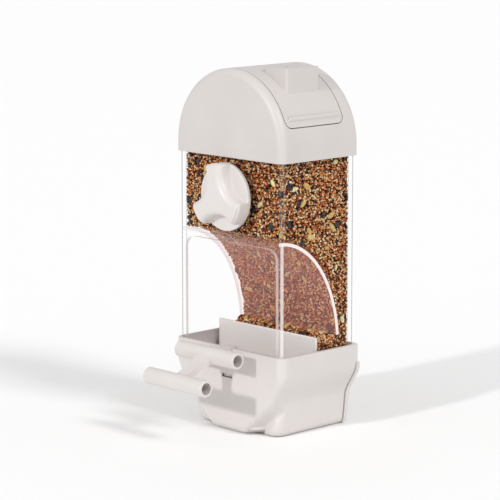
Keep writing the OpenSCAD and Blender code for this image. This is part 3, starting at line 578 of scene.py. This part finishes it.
def roundGrain(levels):
    # the upper part of a rounded grain, from a subdivided octahedron
    form = bmesh.new()
    corners = [form.verts.new(c) for c in ((1, 0, 0), (-1, 0, 0), (0, 1, 0), (0, -1, 0), (0, 0, 1), (0, 0, -1))]
    for a, b, c in ((0, 2, 4), (2, 1, 4), (1, 3, 4), (3, 0, 4), (2, 0, 5), (1, 2, 5), (3, 1, 5), (0, 3, 5)):
        form.faces.new((corners[a], corners[b], corners[c]))
    for _ in range(levels):
        bmesh.ops.subdivide_edges(form, edges=form.edges, cuts=1, use_grid_fill=True)
        for v in form.verts:
            v.co.normalize()
    hidden = [v for v in form.verts if v.co.z < grainForm["cutOff"]]
    bmesh.ops.delete(form, geom=hidden, context="VERTS")
    bmesh.ops.triangulate(form, faces=form.faces)
    form.verts.index_update()
    points = np.array([v.co for v in form.verts])
    faces = np.array([[v.index for v in f.verts] for f in form.faces])
    form.free()
    return points, faces


def laidGrain(form, size, spot, out):
    # the points of one grain, laid on the heap at its spot with its own size, tilt and turn
    out = Vector(out)
    half = np.array(size["half"]) * np.clip(rng.normal(1, size["spread"], 3), grainForm["least"], grainForm["most"])
    tilt = rng.normal(0, size["tilt"], 2)
    across = Vector((1, 0, 0)) if abs(out.x) < grainForm["sideOn"] else Vector((0, 1, 0))
    across = (across - out * across.dot(out)).normalized()
    stand = Matrix((across, out.cross(across), out)).transposed()
    spin = (Matrix.Rotation(rng.uniform(0, 2 * math.pi), 3, "Z") @ Matrix.Rotation(tilt[0], 3, "X")
            @ Matrix.Rotation(tilt[1], 3, "Y"))
    local = (form * half) @ np.array(spin).T
    sink = rng.random() * size["sink"] if size["sink"] else 0.0
    local[:, 2] -= local[:, 2].max() - grainForm["proud"] + sink
    points = local @ np.array(stand).T + np.array(spot)
    points[:, 0] = np.clip(points[:, 0], -halfX + grainForm["clear"], halfX - grainForm["clear"])
    points[:, 1] = np.clip(points[:, 1], frontY + grainForm["clear"], rearY - grainForm["clear"])
    return points * mm


chosen = rng.choice(list(seed["shares"]), size=len(spots), p=list(seed["shares"].values()))
chosen[rng.random(len(spots)) < seed["largeShare"]] = "largeSeeds"
places = np.array([point for point, _ in spots])
large = places[chosen == "largeSeeds"]
covered = np.array([np.min(np.sum((large - point) ** 2, axis=1)) < seed["largeClear"] ** 2 for point in places])
keep = (chosen == "largeSeeds") | ~covered   # small grains stay clear of the large seeds
spots, chosen = [spot for spot, kept in zip(spots, keep) if kept], chosen[keep]
for kind, size in grainSizes.items():
    form, formFaces = roundGrain(size["levels"])
    footShades = np.clip(grainForm["shadeFrom"] - grainForm["shadeSlope"] * form[:, 2], 0, 1) ** grainForm["shadePower"]
    points, shades = [], []
    for (spot, out), which in zip(spots, chosen):
        if which == kind:
            points.append(laidGrain(form, size, spot, out))
            shades.append(np.full(len(form), rng.random()))
    faces = np.concatenate([formFaces + i * len(form) for i in range(len(points))])
    grains = newMesh(kind, np.concatenate(points), faces)
    for label, values in (("grainShade", np.concatenate(shades)), ("grainFoot", np.tile(footShades, len(points)))):
        grains.data.attributes.new(label, "FLOAT", "POINT").data.foreach_set("value", values)
    fitPiece(grains, kind, grainCoats[kind], "feeder")
    print(f"  {kind}: {len(points)} grains, {len(faces)} faces")

print("brightening the partition's moulded edges")
# pale strips inside the side walls along the partition's edges: painted highlights
seam = {"width": 0.35, "inset": 0.05, "steps": 60}   # mm: the strip's width, and how far it keeps inside the plastic
seamSides = {"Left": (-1, faintEdge), "Right": (1, clearEdge)}
for label, (side, edge) in seamSides.items():
    seamPoints, seamFaces = [], []
    for i in range(seam["steps"] + 1):
        for inset in (seam["inset"], partition["thick"] - seam["inset"]):
            y, z = arcPoint(arcEnd * i / seam["steps"], inset)
            for x in (halfX - seam["inset"], halfX - seam["inset"] - seam["width"]):
                seamPoints.append((side * x * mm, y * mm, z * mm))
    for a in range(0, 4 * seam["steps"], 4):   # four points to each step
        b = a + 4
        seamFaces += [(a, a + 1, b + 1, b), (a + 2, b + 2, b + 3, a + 3),
                      (a, b, b + 2, a + 2), (a + 1, a + 3, b + 3, b + 1)]
    end = 4 * seam["steps"]
    seamFaces += [(0, 2, 3, 1), (end, end + 1, end + 3, end + 2)]
    strip = newMesh("partitionEdge" + label, seamPoints, seamFaces, smooth=False)
    fitPiece(strip, "partitionEdge" + label, edge, "feeder")

print("setting the studio")
studio = {
    "floor": "#fbfbfb", "reach": 14.0, "world": 0.66,   # metres either way, and the surround's strength
    "lights": {   # irradiance against a white surround, degrees round from the front, up, and soft
        "key": {"strength": 0.38, "round": 0, "up": 24, "soft": 4},
        "side": {"strength": 0.36, "round": 92, "up": 38, "soft": 14},
    },
}
reach = studio["reach"]
floorCorners = [(-reach, -reach, 0), (reach, -reach, 0), (reach, reach, 0), (-reach, reach, 0)]
floorObj = newMesh("paleFloor", floorCorners, [(0, 1, 2, 3)], smooth=False)
paleFloor = newMaterial("paleFloorPaint")   # matt paint
floorShader = addNode(paleFloor, "ShaderNodeBsdfPrincipled", Base_Color=toLinear(studio["floor"]), Roughness=0.9)
floorObj.data.materials.append(finishMaterial(paleFloor, floorShader))
world = bpy.data.worlds.new("studioSurround")
world.use_nodes = True
surround = world.node_tree.nodes["Background"].inputs
surround["Color"].default_value, surround["Strength"].default_value = toLinear("#ffffff"), studio["world"]
bpy.context.scene.world = world
for label, light in studio["lights"].items():
    lamp = bpy.data.lights.new(label + "Light", "SUN")
    lamp.energy, lamp.angle = light["strength"] * math.pi, math.radians(light["soft"])
    a, e = math.radians(light["round"]), math.radians(light["up"])
    towards = Vector((-math.sin(a) * math.cos(e), math.cos(a) * math.cos(e), -math.sin(e)))
    linkedObject(label + "Light", lamp).rotation_euler = towards.to_track_quat("-Z", "Y").to_euler()

camera = {
    "azimuth": 46.29, "elevation": 9.9, "distance": 1.5, "lens": 168.2, "sensor": 36.0,   # degrees, metres, mm
    "target": (0.0, -0.0327, 0.055),   # metres, the tray's rim at the hopper's front face
    "aside": 0.01289, "above": 0.06226,   # metres, the view's centre from there
}
a, e = math.radians(camera["azimuth"]), math.radians(camera["elevation"])
back = Vector((math.sin(a) * math.cos(e), -math.cos(a) * math.cos(e), math.sin(e)))
right = Vector((math.cos(a), math.sin(a), 0))
up = back.cross(right)
lens = bpy.data.cameras.new("photoView")
lens.lens, lens.sensor_width = camera["lens"], camera["sensor"]
cameraObj = linkedObject("photoView", lens)
spot = Vector(camera["target"]) + right * camera["aside"] + up * camera["above"] + back * camera["distance"]
cameraObj.matrix_world = Matrix.Translation(spot) @ Matrix((right, up, back)).transposed().to_4x4()
bpy.context.scene.camera = cameraObj
bpy.context.scene.view_settings.view_transform = "Standard"

print("done")
